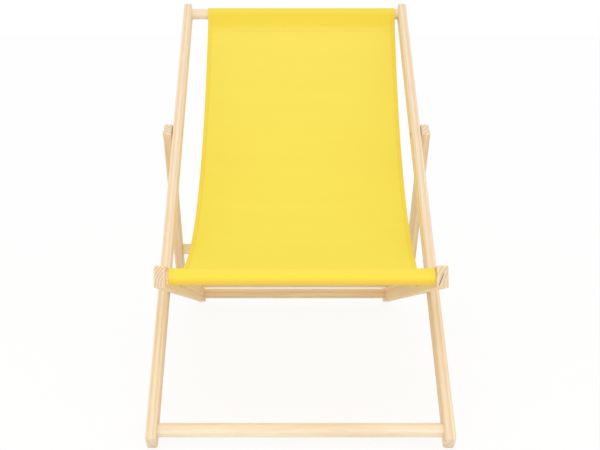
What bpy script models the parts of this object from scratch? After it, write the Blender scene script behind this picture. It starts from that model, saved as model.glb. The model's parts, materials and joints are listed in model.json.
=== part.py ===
"""Folding deck chair: two crossed rail frames, a prop frame and a hanging sling of cloth.

Metres, +Z up. The chair faces -Y, stands on z = 0 and is centred on the Z axis. Each frame hangs on
an empty that sits on its pivot, with the rails along the empty's own Y and their upper edge at +Z.
"""
from math import asinh, atan2, atanh, cos, cosh, pi, radians, sin, sinh, sqrt

import bmesh
import bpy
from mathutils import Matrix, Vector

# Rails and dowels
RAIL_THICK = 0.020
RAIL_DEPTH = 0.040
RAIL_ROUND = 0.003
DOWEL_RADIUS = 0.013
DOWEL_SIDES = 28
SOCKET_DEPTH = 0.012
GAP = 0.0003
CUT_PAST = 0.002

# Back frame, measured up its rails from the feet
BACK_WIDTH = 0.565
BACK_LENGTH = 1.200
BACK_ANGLE = radians(39.6)
FOOT_DOWEL_UP = 0.028
SEAT_PIVOT_UP = 0.353
PROP_PIVOT_UP = 0.764
TOP_DOWEL_UP = 1.180

# Seat frame, measured along its rails from the seat pivot
SEAT_ANGLE = radians(19.0)
SEAT_FRONT = -0.275
FRONT_DOWEL = -0.250
NOTCH = 0.551
NOTCH_SPACING = 0.090
NOTCH_BITE = 0.007
FREE_NOTCHES = (-2, -1, 1)
FREE_NOTCH_BITE = 0.012
RAMP_ANGLE = radians(1.9)
REAR_DOWEL = 0.610

# Prop frame, measured along its rails from the prop pivot
PROP_TOP = -0.0165
CROSS_BAR = 0.351
PROP_TAIL = 0.030

# Feet are worn flat where their corners meet the floor
FLOOR_WEAR = 0.0025

# Pivot hardware
PIVOT_GAP = 0.0016
WASHER_THICK = 0.001
WASHER_RADIUS = 0.009
SLEEVE_RADIUS = 0.0043
BOLT_RADIUS = 0.003
FLANGE_RADIUS = 0.0075
FLANGE_THICK = 0.0018
FLANGE_ROUND = 0.0008
BOLT_REACH = 0.034
PIVOT_HOLE = SLEEVE_RADIUS + GAP
SLEEVE_SHORT = 0.006
KEY_RADIUS = 0.0023
KEY_DEPTH = 0.0012

# Dowel screws
SCREW_RADIUS = 0.002
SCREW_HEAD = 0.004
SCREW_RIM = 0.0004
SCREW_LENGTH = 0.042
SCREW_POINT = 0.006
TURN_SIDES = 16

# Sling
SLING_LENGTH = 1.084
SLING_WIDTH = 0.4745
SLING_SHIFT_FRONT = 0.0016
SLING_SHIFT_TOP = 0.0165
SLING_STRAIGHT = 0.26
CLOTH = 0.0016
SLEEVE_OUTSIDE = 0.0155
SLEEVE_LENGTH = 0.062
SLING_STEPS = 52
ARC_STEPS = 8

# Places that follow from these
BACK_OUTER = BACK_WIDTH / 2
BACK_INNER = BACK_OUTER - RAIL_THICK
SEAT_OUTER = BACK_INNER - PIVOT_GAP
SEAT_INNER = SEAT_OUTER - RAIL_THICK
PROP_INNER = BACK_OUTER + PIVOT_GAP
PROP_OUTER = PROP_INNER + RAIL_THICK
UP_BACK = Vector((0, cos(BACK_ANGLE), sin(BACK_ANGLE)))
ALONG_SEAT = Vector((0, cos(SEAT_ANGLE), -sin(SEAT_ANGLE)))
ABOVE_SEAT = Vector((0, sin(SEAT_ANGLE), cos(SEAT_ANGLE)))
FOOT = Vector((0, -BACK_LENGTH / 2 * cos(BACK_ANGLE), RAIL_DEPTH / 2 * cos(BACK_ANGLE) - FLOOR_WEAR))
SEAT_PIVOT = FOOT + UP_BACK * SEAT_PIVOT_UP
PROP_PIVOT = FOOT + UP_BACK * PROP_PIVOT_UP
SEAT_REAR = (SEAT_PIVOT.z + FLOOR_WEAR - RAIL_DEPTH / 2 * cos(SEAT_ANGLE)) / sin(SEAT_ANGLE)
BAR_HEIGHT = RAIL_DEPTH / 2 + DOWEL_RADIUS - NOTCH_BITE
PROP_REACH = SEAT_PIVOT + ALONG_SEAT * NOTCH + ABOVE_SEAT * BAR_HEIGHT - PROP_PIVOT
PROP_ANGLE = atan2(-PROP_REACH.z, PROP_REACH.y)
NOTCH_BAR = PROP_REACH.length
SIDES = {"left": -1, "right": 1}


def clear_scene():
    for thing in list(bpy.data.objects):
        bpy.data.objects.remove(thing)


def collection(name):
    group = bpy.data.collections.new(name)
    bpy.context.scene.collection.children.link(group)
    return group


def material(name, colour, roughness, metallic=0.0):
    finish = bpy.data.materials.new(name)
    finish.use_nodes = True
    shader = finish.node_tree.nodes["Principled BSDF"]
    shader.inputs["Base Color"].default_value = (*colour, 1)
    shader.inputs["Roughness"].default_value = roughness
    shader.inputs["Metallic"].default_value = metallic
    return finish


def frame(name, place, angle):
    """An empty on a frame's pivot, turned so that its Y runs along the rails."""
    pivot = bpy.data.objects.new(name, None)
    pivot.location = place
    pivot.rotation_euler.x = angle
    pivot.empty_display_size = 0.1
    CHAIR.objects.link(pivot)
    return pivot


def put(name, mesh, group, parent, place, side):
    """An object on its frame. One on the left is turned half round, so its own +X still points outwards."""
    thing = bpy.data.objects.new(name, mesh)
    thing.parent = parent
    thing.location = place
    thing.rotation_euler.z = 0 if side > 0 else pi
    group.objects.link(thing)
    return thing


def piece(name, mesh, finish, parent=None, place=(0, 0, 0), side=1):
    mesh.materials.append(finish)
    return put(name, mesh, CHAIR, parent, place, side)


def cutter(name, mesh, parent=None, place=(0, 0, 0), side=1):
    thing = put(name, mesh, CUTTERS, parent, place, side)
    thing.hide_render = True
    thing.display_type = "WIRE"
    return thing


def cut(thing, tool):
    boolean = thing.modifiers.new(tool.name, "BOOLEAN")
    boolean.operation = "DIFFERENCE"
    boolean.solver = "EXACT"
    boolean.object = tool


def finished(shape, name, smooth_angle=radians(35)):
    mesh = bpy.data.meshes.new(name)
    shape.to_mesh(mesh)
    shape.free()
    mesh.shade_smooth()
    mesh.set_sharp_from_angle(angle=smooth_angle)
    return mesh


def block(name, low, high):
    """A box between two corners."""
    low, high = Vector(low), Vector(high)
    shape = bmesh.new()
    bmesh.ops.create_cube(shape, size=1, matrix=Matrix.LocRotScale((low + high) / 2, None, high - low))
    return finished(shape, name)


def rod(name, radius, start, end, sides=DOWEL_SIDES):
    """A round or many-sided bar along X."""
    shape = bmesh.new()
    place = Matrix.Translation(((start + end) / 2, 0, 0)) @ Matrix.Rotation(pi / 2, 4, "Y")
    bmesh.ops.create_cone(shape, cap_ends=True, segments=sides, radius1=radius, radius2=radius,
                          depth=end - start, matrix=place)
    return finished(shape, name)


def turn(thing):
    """Spin a profile of (x, radius) points about X."""
    screw = thing.modifiers.new("turned", "SCREW")
    screw.axis = "X"
    screw.steps = screw.render_steps = TURN_SIDES
    screw.use_merge_vertices = True
    screw.merge_threshold = 0.00001
    screw.use_smooth_shade = True
    return thing


def profile(name, points, ring=False):
    """The outline of a turned piece, from its outer end to its inner one."""
    mesh = bpy.data.meshes.new(name)
    edges = [(i, i + 1) for i in range(len(points) - 1)]
    if ring:
        edges.append((len(points) - 1, 0))
    mesh.from_pydata([(x, 0, radius) for x, radius in points], edges, [])
    return mesh


def rail(name, parent, side, middle, start, end):
    """A rail with rounded edges. Its middle is the distance of its centre plane from the chair's."""
    half = RAIL_THICK / 2
    mesh = block(name, (-half, start, -RAIL_DEPTH / 2), (half, end, RAIL_DEPTH / 2))
    thing = piece(name, mesh, PINE, parent, (side * middle, 0, 0))
    rounded = thing.modifiers.new("rounded edges", "BEVEL")
    rounded.width = RAIL_ROUND
    rounded.segments = 2
    return thing


def key_socket(head, face):
    """A hexagon socket in a bolt or screw whose head ends at this x."""
    name = head.name + "_key"
    tool = cutter(name, rod(name, KEY_RADIUS, face - KEY_DEPTH, face + KEY_DEPTH, sides=6), head)
    cut(head, tool)


def screw_profile(top, clearance=0.0):
    """A countersunk screw in a rail's outer face or, with a clearance, the hole for it."""
    radius = SCREW_RADIUS + clearance
    head = SCREW_HEAD + clearance
    rim = -GAP - SCREW_RIM
    neck = rim - SCREW_HEAD + SCREW_RADIUS - clearance
    points = [(top, 0), (top, head), (rim, head), (neck, radius)]
    return points + [(SCREW_POINT - SCREW_LENGTH, radius), (-SCREW_LENGTH - clearance, 0)]


def dowel(name, parent, rails, outer, along):
    """A dowel let into both rails of a frame, with a screw through each rail into its end."""
    reach = outer - RAIL_THICK + SOCKET_DEPTH - GAP
    bar = piece(name, rod(name, DOWEL_RADIUS, -reach, reach), PINE, parent, (0, along, 0))
    for word, side in SIDES.items():
        spot = (parent, (side * outer, along, 0), side)
        label = f"{name}_screw_{word}"
        socket = rod(label, DOWEL_RADIUS + GAP, -RAIL_THICK - CUT_PAST, SOCKET_DEPTH - RAIL_THICK)
        cut(rails[word], cutter(label + "_socket", socket, *spot))
        hole = turn(cutter(label + "_hole", profile(label, screw_profile(CUT_PAST, GAP)), *spot))
        cut(rails[word], hole)
        cut(bar, hole)
        screw = turn(piece(label, profile(label, screw_profile(-GAP)), ZINC, *spot))
        key_socket(screw, -GAP)


def pivot_bolt(name, spot):
    """A low-headed connector bolt on the outer face of the outer rail."""
    head = GAP + FLANGE_THICK
    points = [(head, 0), (head, FLANGE_RADIUS - FLANGE_ROUND), (head - FLANGE_ROUND, FLANGE_RADIUS)]
    points += [(GAP, FLANGE_RADIUS), (GAP, BOLT_RADIUS), (-BOLT_REACH, BOLT_RADIUS), (-BOLT_REACH, 0)]
    key_socket(turn(piece(name, profile(name, points), ZINC, *spot)), head)


def pivot_sleeve_nut(name, spot, face):
    """The nut that the bolt screws into. Its long sleeve is the bearing that both rails turn on."""
    back = face - FLANGE_THICK
    points = [(-BOLT_REACH - GAP, 0), (-BOLT_REACH - GAP, BOLT_RADIUS + GAP)]
    points += [(-SLEEVE_SHORT, BOLT_RADIUS + GAP), (-SLEEVE_SHORT, SLEEVE_RADIUS)]
    points += [(face, SLEEVE_RADIUS), (face, FLANGE_RADIUS), (back + FLANGE_ROUND, FLANGE_RADIUS)]
    points += [(back, FLANGE_RADIUS - FLANGE_ROUND), (back, 0)]
    key_socket(turn(piece(name, profile(name, points), ZINC, *spot)), back)


def pivot_washer(name, spot):
    """A thin washer that keeps the two rails apart."""
    face = -RAIL_THICK - (PIVOT_GAP - WASHER_THICK) / 2
    back = face - WASHER_THICK
    points = [(face, PIVOT_HOLE), (face, WASHER_RADIUS), (back, WASHER_RADIUS), (back, PIVOT_HOLE)]
    turn(piece(name, profile(name, points, ring=True), NYLON, *spot))


def pivot(name, parent, outer_rails, inner_rails, outer):
    """The hardware at a frame's own pivot. The nut's head lies in a counterbore, so that a rail can pass it."""
    inside = -2 * RAIL_THICK - PIVOT_GAP
    nut_face = inside + GAP + FLANGE_THICK
    bore = [(CUT_PAST, 0), (CUT_PAST, PIVOT_HOLE), (nut_face + GAP, PIVOT_HOLE)]
    bore += [(nut_face + GAP, FLANGE_RADIUS + GAP), (inside - CUT_PAST, FLANGE_RADIUS + GAP)]
    bore.append((inside - CUT_PAST, 0))
    for word, side in SIDES.items():
        spot = (parent, (side * outer, 0, 0), side)
        drill = turn(cutter(f"{name}_hole_{word}", profile(name, bore), *spot))
        cut(outer_rails[word], drill)
        cut(inner_rails[word], drill)
        pivot_bolt(f"{name}_bolt_{word}", spot)
        pivot_sleeve_nut(f"{name}_sleeve_nut_{word}", spot, nut_face)
        pivot_washer(f"{name}_washer_{word}", spot)


def notches(rails):
    """Scallops for the prop's bar in the seat rails' top edges. The one in use is eased into a ramp behind."""
    reach = RAIL_THICK / 2 + CUT_PAST
    bites = {0: NOTCH_BITE} | {step: FREE_NOTCH_BITE for step in FREE_NOTCHES}
    for word, side in SIDES.items():
        x = side * (SEAT_INNER + RAIL_THICK / 2)
        for step, bite in bites.items():
            label = f"notch_{step}_{word}"
            scallop = rod(label, DOWEL_RADIUS + GAP, -reach, reach)
            place = (x, NOTCH + step * NOTCH_SPACING, RAIL_DEPTH / 2 + DOWEL_RADIUS - bite)
            cut(rails[word], cutter(label, scallop, SEAT_FRAME, place))
        label = f"ramp_{word}"
        wedge = block(label, (-reach, 0, 0), (reach, SEAT_REAR, RAIL_DEPTH))
        ramp = cutter(label, wedge, SEAT_FRAME, (x, NOTCH, RAIL_DEPTH / 2 - NOTCH_BITE - GAP))
        ramp.rotation_euler.x = RAMP_ANGLE
        cut(rails[word], ramp)


def hanging_curve(low, high):
    """Evenly spaced points of a cloth that hangs between two dowels, each with its direction."""
    span = high.y - low.y
    rise = high.z - low.z
    level_length = sqrt(SLING_LENGTH ** 2 - rise ** 2)
    small, large = span / 20, span * 20
    for _ in range(60):
        bend = (small + large) / 2
        if 2 * bend * sinh(span / (2 * bend)) > level_length:
            small = bend
        else:
            large = bend
    lowest = (low.y + high.y) / 2 - bend * atanh(rise / SLING_LENGTH)
    first = sinh((low.y - lowest) / bend)
    points = []
    for step in range(SLING_STEPS + 1):
        slope = first + SLING_LENGTH / bend * step / SLING_STEPS
        y = lowest + bend * asinh(slope)
        z = low.z + bend * (cosh(asinh(slope)) - cosh(asinh(first)))
        points.append((Vector((y, z)), Vector((1, slope)).normalized()))
    return points


def outline(points, half, first, last):
    """A closed outline at a half thickness from the curve, rounded where it goes round a dowel."""
    upper, lower = [], []
    for index in range(first, last + 1):
        place, way = points[index]
        across = Vector((-way.y, way.x)) * half(index)
        upper.append(place + across)
        lower.append(place - across)
    top = half_round(points[last], half(last), 1) if last == SLING_STEPS else []
    front = half_round(points[first], half(first), -1) if first == 0 else []
    return upper + top + lower[::-1] + front


def half_round(point, radius, sign):
    """The half circle that closes an outline beyond the top dowel, or with sign -1 the front one."""
    place, way = point
    across = Vector((-way.y, way.x))
    angles = [pi * step / ARC_STEPS for step in range(1, ARC_STEPS)]
    return [place + (across * cos(angle) + way * sin(angle)) * radius * sign for angle in angles]


def flat_spline(curve, points):
    spline = curve.splines.new("POLY")
    spline.points.add(len(points) - 1)
    for point, place in zip(spline.points, points):
        point.co = (place.x, place.y, 0, 1)
    spline.use_cyclic_u = True


def sling(front_dowel, top_dowel):
    """The cloth as one hanging sheet, with a sewn sleeve round the dowel at each end."""
    points = hanging_curve(front_dowel, top_dowel)
    step_length = SLING_LENGTH / SLING_STEPS

    def half(index):
        from_end = min(index, SLING_STEPS - index) * step_length
        sleeve = SLEEVE_OUTSIDE + (CLOTH / 2 - SLEEVE_OUTSIDE) * from_end / SLEEVE_LENGTH
        return max(CLOTH / 2, sleeve)

    def inside(index):
        return max(half(index) - CLOTH, CLOTH / 4)

    pocket = int(SLEEVE_LENGTH / step_length)
    curve = bpy.data.curves.new("sling", "CURVE")
    curve.dimensions = "2D"
    curve.fill_mode = "BOTH"
    curve.extrude = SLING_WIDTH / 2
    flat_spline(curve, outline(points, half, 0, SLING_STEPS))
    flat_spline(curve, outline(points, inside, 0, pocket))
    flat_spline(curve, outline(points, inside, SLING_STEPS - pocket, SLING_STEPS))
    flat = bpy.data.objects.new("sling_outline", curve)
    flat.rotation_euler = (pi / 2, 0, pi / 2)
    CUTTERS.objects.link(flat)
    bpy.context.view_layer.update()

    shape = bmesh.new()
    solid = bpy.data.meshes.new_from_object(flat.evaluated_get(bpy.context.evaluated_depsgraph_get()))
    shape.from_mesh(solid)
    shape.transform(flat.matrix_world)
    bmesh.ops.remove_doubles(shape, verts=shape.verts, dist=0.00001)
    bmesh.ops.recalc_face_normals(shape, faces=shape.faces)
    for vert in shape.verts:
        along = (vert.co.y - front_dowel.y) / (top_dowel.y - front_dowel.y)
        slid = sqrt(max(0.0, along - SLING_STRAIGHT) / (1 - SLING_STRAIGHT))
        vert.co.x += SLING_SHIFT_FRONT + (SLING_SHIFT_TOP - SLING_SHIFT_FRONT) * slid
    bpy.data.objects.remove(flat)
    return piece("sling", finished(shape, "sling"), CANVAS)


clear_scene()
CHAIR = collection("folding_deck_chair")
CUTTERS = collection("cutters")
PINE = material("pine", (0.83, 0.64, 0.40), 0.55)
ZINC = material("yellow zinc plated steel", (0.70, 0.56, 0.30), 0.35, 1.0)
NYLON = material("nylon", (0.80, 0.79, 0.75), 0.5)
CANVAS = material("yellow canvas", (0.95, 0.76, 0.10), 0.8)

BACK_FRAME = frame("back_frame", FOOT, BACK_ANGLE)
SEAT_FRAME = frame("seat_frame", SEAT_PIVOT, -SEAT_ANGLE)
PROP_FRAME = frame("prop_frame", PROP_PIVOT, -PROP_ANGLE)

back_rails, seat_rails, prop_rails = {}, {}, {}
for word, side in SIDES.items():
    middle = RAIL_THICK / 2
    back_rails[word] = rail(f"back_rail_{word}", BACK_FRAME, side, BACK_INNER + middle, 0, BACK_LENGTH)
    seat_rails[word] = rail(f"seat_rail_{word}", SEAT_FRAME, side, SEAT_INNER + middle, SEAT_FRONT, SEAT_REAR)
    prop_rails[word] = rail(f"prop_rail_{word}", PROP_FRAME, side, PROP_INNER + middle,
                            PROP_TOP, NOTCH_BAR + PROP_TAIL)

dowel("foot_dowel", BACK_FRAME, back_rails, BACK_OUTER, FOOT_DOWEL_UP)
dowel("top_dowel", BACK_FRAME, back_rails, BACK_OUTER, TOP_DOWEL_UP)
dowel("front_dowel", SEAT_FRAME, seat_rails, SEAT_OUTER, FRONT_DOWEL)
dowel("rear_dowel", SEAT_FRAME, seat_rails, SEAT_OUTER, REAR_DOWEL)
dowel("prop_cross_bar", PROP_FRAME, prop_rails, PROP_OUTER, CROSS_BAR)
dowel("prop_notch_bar", PROP_FRAME, prop_rails, PROP_OUTER, NOTCH_BAR)
pivot("seat_pivot", SEAT_FRAME, back_rails, seat_rails, BACK_OUTER)
pivot("prop_pivot", PROP_FRAME, prop_rails, back_rails, PROP_OUTER)
notches(seat_rails)

floor = cutter("floor", block("floor", (-1, -1, -0.1), (1, 1, 0)))
for foot_rail in (*back_rails.values(), *seat_rails.values()):
    cut(foot_rail, floor)

sling(SEAT_PIVOT + ALONG_SEAT * FRONT_DOWEL, FOOT + UP_BACK * TOP_DOWEL_UP)
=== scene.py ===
"""Finish of a folding deck chair: planed pine rails, turned dowels, plated fittings and a canvas sling.

Metres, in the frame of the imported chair: it faces -Y, stands on z = 0 and has +X on the viewer's right.
"""
import json
from bisect import bisect_right
from collections import namedtuple
from contextlib import contextmanager
from math import acos, asinh, atan2, atanh, ceil, cosh, exp, pi, radians, sinh, sqrt

import bmesh
import bpy
from mathutils import Euler, Matrix, Vector, noise

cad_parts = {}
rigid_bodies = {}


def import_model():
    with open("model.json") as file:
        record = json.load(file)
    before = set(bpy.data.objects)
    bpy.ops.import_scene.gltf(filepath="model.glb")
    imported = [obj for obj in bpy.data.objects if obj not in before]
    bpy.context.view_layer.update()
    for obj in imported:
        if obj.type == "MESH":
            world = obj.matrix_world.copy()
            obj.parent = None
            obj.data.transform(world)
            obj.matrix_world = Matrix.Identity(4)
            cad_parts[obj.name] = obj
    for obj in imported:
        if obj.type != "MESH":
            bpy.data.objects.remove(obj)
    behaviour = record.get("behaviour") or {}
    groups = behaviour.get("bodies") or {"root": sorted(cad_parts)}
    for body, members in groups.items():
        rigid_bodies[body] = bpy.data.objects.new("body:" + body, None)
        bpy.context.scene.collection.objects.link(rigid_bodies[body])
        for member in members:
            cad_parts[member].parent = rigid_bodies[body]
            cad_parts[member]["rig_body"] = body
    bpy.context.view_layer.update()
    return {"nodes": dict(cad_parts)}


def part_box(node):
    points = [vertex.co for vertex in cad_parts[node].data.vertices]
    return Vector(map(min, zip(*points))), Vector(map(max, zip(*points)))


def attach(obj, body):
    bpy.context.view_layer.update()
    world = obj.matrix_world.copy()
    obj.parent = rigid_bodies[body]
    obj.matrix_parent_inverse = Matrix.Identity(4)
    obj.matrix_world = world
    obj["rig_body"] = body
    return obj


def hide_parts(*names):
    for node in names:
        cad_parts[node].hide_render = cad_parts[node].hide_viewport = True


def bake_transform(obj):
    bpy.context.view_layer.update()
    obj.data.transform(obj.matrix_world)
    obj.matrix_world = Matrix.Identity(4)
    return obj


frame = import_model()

bl_info = {
    "name": "Folding deck chair finish",
    "version": (1, 0, 0),
    "blender": (4, 5, 0),
    "location": "3D View > Sidebar > Deck chair",
    "description": "Builds the finished pieces of a folding deck chair around its packed frame",
    "category": "Object",
}

SIDES = {"left": -1, "right": 1}
FRAMES = {
    "back_frame": ("back_rail", ("foot_dowel", "top_dowel")),
    "seat_frame": ("seat_rail", ("front_dowel", "rear_dowel")),
    "prop_frame": ("prop_rail", ("prop_cross_bar", "prop_notch_bar")),
}
DOWELS = [dowel for _, pair in FRAMES.values() for dowel in pair]
# Each pivot's outer rail, which has the bolt's head, and inner rail, which has the sleeve nut's
PIVOTS = {"seat_pivot": ("back_rail", "seat_rail"), "prop_pivot": ("prop_rail", "back_rail")}

# Room between touching pieces, how far a cutter stands past a face, and a reach right through a rail
GAP = 0.0003
PAST = 0.004
REACH = 0.05
# Points that are closer than this become one
MERGE = 0.00001
SMOOTH_ANGLE = radians(32)
SHARP_ANGLE = radians(60)
X_AXIS = Vector((1, 0, 0))
ORIGIN = Vector((0, 0, 0))
WHITE = (1.0, 1.0, 1.0, 1.0)


def linear(colour):
    """An sRGB hex colour as linear red, green, blue and alpha."""
    channels = [int(colour[start:start + 2], 16) / 255 for start in (1, 3, 5)]
    return [c / 12.92 if c <= 0.04045 else ((c + 0.055) / 1.055) ** 2.4 for c in channels] + [1.0]


def number(name, description, default, **kind):
    """A number that the user can change."""
    return bpy.props.FloatProperty(name=name, description=description, default=default, **kind)


def size(name, description, default):
    """A length that the user can change, in metres."""
    return number(name, description, default, unit="LENGTH", precision=5, min=0.0)


def location(name, description, default):
    """A place that the user can change, in metres."""
    return bpy.props.FloatVectorProperty(name=name, description=description, default=default, unit="LENGTH",
                                         subtype="TRANSLATION")


def tint(name, description, default):
    """A colour that the user can change, given as sRGB hex."""
    return bpy.props.FloatVectorProperty(name=name, description=description, default=linear(default),
                                         subtype="COLOR", size=4, min=0.0, max=1.0)


class DeckChairTimber(bpy.types.PropertyGroup):
    """Sizes and colours of the pine rails and dowels."""
    edge_round: size("Edge round", "Radius planed on the rails' long edges", 0.0030)
    end_round: size("End round", "Radius sanded round the rails' ends", 0.0052)
    dowel_round: size("Dowel round", "Radius sanded on the dowels' ends", 0.001)
    notch_spacing: size("Notch spacing", "Distance from one notch to the next", 0.090)
    free_notch_drop: size("Free notch drop", "How much deeper the empty notches are cut", 0.005)
    ramp_angle: number("Ramp angle", "Rise of the easing behind the bar's notch", radians(1.9),
                       subtype="ANGLE")
    crack_length: size("Crack length", "Length of the crack across the right seat rail's end", 0.026)
    crack_width: size("Crack width", "Width of the crack at its middle", 0.0016)
    crack_depth: size("Crack depth", "How far the crack runs into the wood", 0.015)
    fibre_width: size("Fibre width", "Width of a fibre streak, coarser than life so that it shows", 0.0011)
    fibre_length: size("Fibre length", "Length of a fibre streak", 0.045)
    patch_width: size("Patch width", "Width of a pinkish patch", 0.016667)
    patch_length: size("Patch length", "Length of a pinkish patch", 0.25)
    early_wood: tint("Early wood", "Pale wood grown in spring", "#F4E1C2")
    late_wood: tint("Late wood", "Darker band grown in summer", "#EBCCA2")
    flush: tint("Flush", "Pinkish tint in patches along the grain", "#F1D5B6")
    dowel_early: tint("Dowel early wood", "Pale wood of the dowels", "#FAECD3")
    dowel_late: tint("Dowel late wood", "Darker band in the dowels", "#F6E2C2")
    # Painted shade: the orange tones given to the pieces that lie in shade, for the light bounced onto them
    # from the canvas and the wood
    warm_shade_early: tint("Warm early wood", "Pale wood from near the heart, which is yellower", "#FEE4B1")
    warm_shade_late: tint("Warm late wood", "Darker band from near the heart", "#F6C98C")
    end_wood: tint("End wood", "Pale rings on the sawn ends, greyer than the faces", "#F0DDBF")
    end_ring: tint("End ring", "Dark rings on the sawn ends", "#D4B88F")


class DeckChairFittings(bpy.types.PropertyGroup):
    """Sizes and colours of the bolts, nuts, washers and screws."""
    flange_thick: size("Flange", "Thickness of a bolt's or nut's low head", 0.0018)
    flange_round: size("Flange round", "Radius on a head's rim", 0.0008)
    bolt_radius: size("Bolt", "Radius of a bolt's shank", 0.003)
    bolt_chamfer: size("Bolt chamfer", "Chamfer on a bolt's end", 0.0005)
    sleeve_radius: size("Sleeve", "Radius of a sleeve nut, which is the bearing", 0.0043)
    screw_radius: size("Screw", "Radius of a wood screw's shank", 0.002)
    screw_rim: size("Screw rim", "Thickness of the rim of a screw's head", 0.0004)
    screw_point: size("Screw point", "Length of a screw's point", 0.006)
    key_radius: size("Key", "Radius of the hexagon socket", 0.0023)
    key_depth: size("Key depth", "Depth of the hexagon socket", 0.0012)
    zinc_cloud: size("Zinc cloud", "Width of a cloud in the plating", 0.00238)
    zinc_grain: size("Zinc grain", "Width of a grain in the plating, coarser than life", 0.000333)
    nylon_flow: size("Nylon flow", "Width of a flow mark in the nylon", 0.00333)
    zinc: tint("Zinc", "Yellow zinc plating", "#E2C08A")
    nylon: tint("Nylon", "Natural nylon of the washers", "#E6E1D2")


class DeckChairSling(bpy.types.PropertyGroup):
    """Sizes and colours of the canvas sling."""
    free_length: size("Free length", "Cloth between the middles of the two dowels", 1.084)
    width: size("Width", "Finished width between the hems' folds", 0.4745)
    shift_front: size("Front shift", "How far the sling has slid along the front dowel", 0.0016)
    shift_top: size("Top shift", "How far the sling has slid along the top dowel", 0.0165)
    straight_share: number("Straight share", "Share of the depth before it slides over", 0.26,
                           subtype="FACTOR")
    cloth: size("Cloth", "Thickness of the canvas", 0.00065)
    layer: size("Layer", "Distance from one layer of a hem to the next", 0.00085)
    hem: size("Hem", "Width of the side hems", 0.010)
    sleeve: size("Sleeve", "Distance from a dowel's middle to its sleeve's seam", 0.031)
    flap: size("Flap", "Cloth past a sleeve's seam", 0.009)
    roll_radius: size("Roll", "Radius of the cloth's middle round a dowel", 0.0147)
    front_lift: size("Front lift", "How far the loose front sleeve rides above its dowel", 0.0012)
    ripple: size("Ripple", "Height of the slack waves across the sling", 0.0005)
    pucker: size("Pucker", "Height of the small gathers beside the hems", 0.0006)
    crease: size("Crease", "Height of the fold left half way along from packing", 0.0016)
    cross_sag: size("Cross sag", "How much the middle hangs under the hems", 0.003)
    stitch: size("Stitch", "Length of one stitch", 0.0034)
    stitch_step: size("Stitch step", "Distance from one stitch to the next", 0.0046)
    thread: size("Thread", "Radius of the sewing thread", 0.00036)
    twist: size("Twist", "Length of a light or dark part of the thread's twist", 0.000625)
    yarn: size("Yarn", "Spacing of the yarns, coarser than life so that the weave shows", 0.0010)
    slub_length: size("Slub length", "Length of an uneven stretch of weft", 0.454545)
    slub_width: size("Slub width", "Width of a band of uneven weft", 0.038462)
    # Where painted light starts to make the canvas paler towards the top
    pale_from: size("Pale from", "Distance along the cloth at which it starts to pale", 0.45)
    canvas: tint("Canvas", "One layer of yellow canvas", "#F6E253")
    # Painted light: the canvas paler and bluer near the top than on the seat, where light bounced in the
    # hollow of the sling deepens the yellow
    painted_pale_top: tint("Painted pale top", "The canvas near the top, which the sun has paled", "#F6E15D")
    # Painted shade: the deeper yellow of hems and sleeves stands for the light that two layers let through
    # less
    doubled: tint("Doubled canvas", "Two layers, through which less light comes", "#F5DC4E")
    # Painted shade: a deeper yellow for the underside of a roll, where the dowel holds back the light that
    # would come through the cloth
    pressed: tint("Painted roll shade", "Underside of a roll, where the dowel lets no light through", "#F3CF4C")
    sewing: tint("Sewing thread", "Polyester thread", "#F6DA50")


class DeckChairStage(bpy.types.PropertyGroup):
    """Floor, lights and camera."""
    floor: size("Floor", "Side of the floor", 40.0)
    paper: tint("Paper", "Colour of the floor", "#FAFAF8")
    whiteness: number("Whiteness", "How far the floor is lifted to white", 0.87, subtype="FACTOR")
    fill: number("Sky", "Strength of the even light from all round", 0.955)
    key: number("Key light", "Power of the high soft lamp", 6.3, unit="POWER")
    key_side: size("Key side", "Side of the high lamp", 1.6)
    key_place: location("Key place", "Place of the high lamp", (-0.1, -1.5, 1.7))
    low: number("Low light", "Power of the soft lamp near the floor", 2.6, unit="POWER")
    low_side: size("Low side", "Side of the low lamp", 1.5)
    low_place: location("Low place", "Place of the low lamp", (-0.2, -2.2, 0.5))
    target: location("Target", "Point that the lamps face", (0.0, 0.0, 0.35))
    camera: location("Camera", "Place of the camera", (-0.0354, -2.1112, 0.8074))
    tilt: number("Tilt", "How far the camera looks down", radians(13.10), subtype="ANGLE")
    lens: number("Lens", "Focal length in millimetres", 58.73, unit="CAMERA")
    slide: number("Slide", "Sideways shift of the picture, as a share of its width", 0.03145)


# Reading the frame

def middle(label):
    """The middle of a CAD node's box."""
    low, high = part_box(label)
    return (low + high) / 2


def spread(label):
    """The size of a CAD node's box."""
    low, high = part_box(label)
    return high - low


def outer_end(label, way):
    """The x of a CAD node's end that faces this way."""
    low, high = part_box(label)
    return high.x if way > 0 else low.x


def right_through(label):
    """The x from before a CAD node to past it, for a cutter that goes right through."""
    return outer_end(label, -1) - PAST, outer_end(label, 1) + PAST


def heading(start, end):
    """Unit vector along a frame's rails, from one dowel to the other."""
    way = middle(end) - middle(start)
    return Vector((0, way.y, way.z)).normalized()


def square_to(along):
    """Unit vector across a rail's depth."""
    return X_AXIS.cross(along)


def basis(along):
    """Axes of a rail: its thickness, its length and its depth."""
    return Matrix((X_AXIS, along, square_to(along))).transposed()


# Modelling

def deselect():
    """Leaves nothing selected."""
    bpy.ops.object.select_all(action="DESELECT")


def only(thing):
    """Makes an object the only selected one, and active."""
    deselect()
    thing.select_set(True)
    bpy.context.view_layer.objects.active = thing


@contextmanager
def edit_mode(thing):
    """Opens a piece in edit mode with all of it selected, and closes it again."""
    only(thing)
    bpy.ops.object.mode_set(mode="EDIT")
    bpy.ops.mesh.select_all(action="SELECT")
    yield
    bpy.ops.object.mode_set(mode="OBJECT")


def started(name):
    """The primitive that was just added, with its turn and scale in its mesh."""
    thing = bpy.context.object
    thing.name = name
    bpy.ops.object.transform_apply(location=True, rotation=True, scale=True)
    return thing


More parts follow.
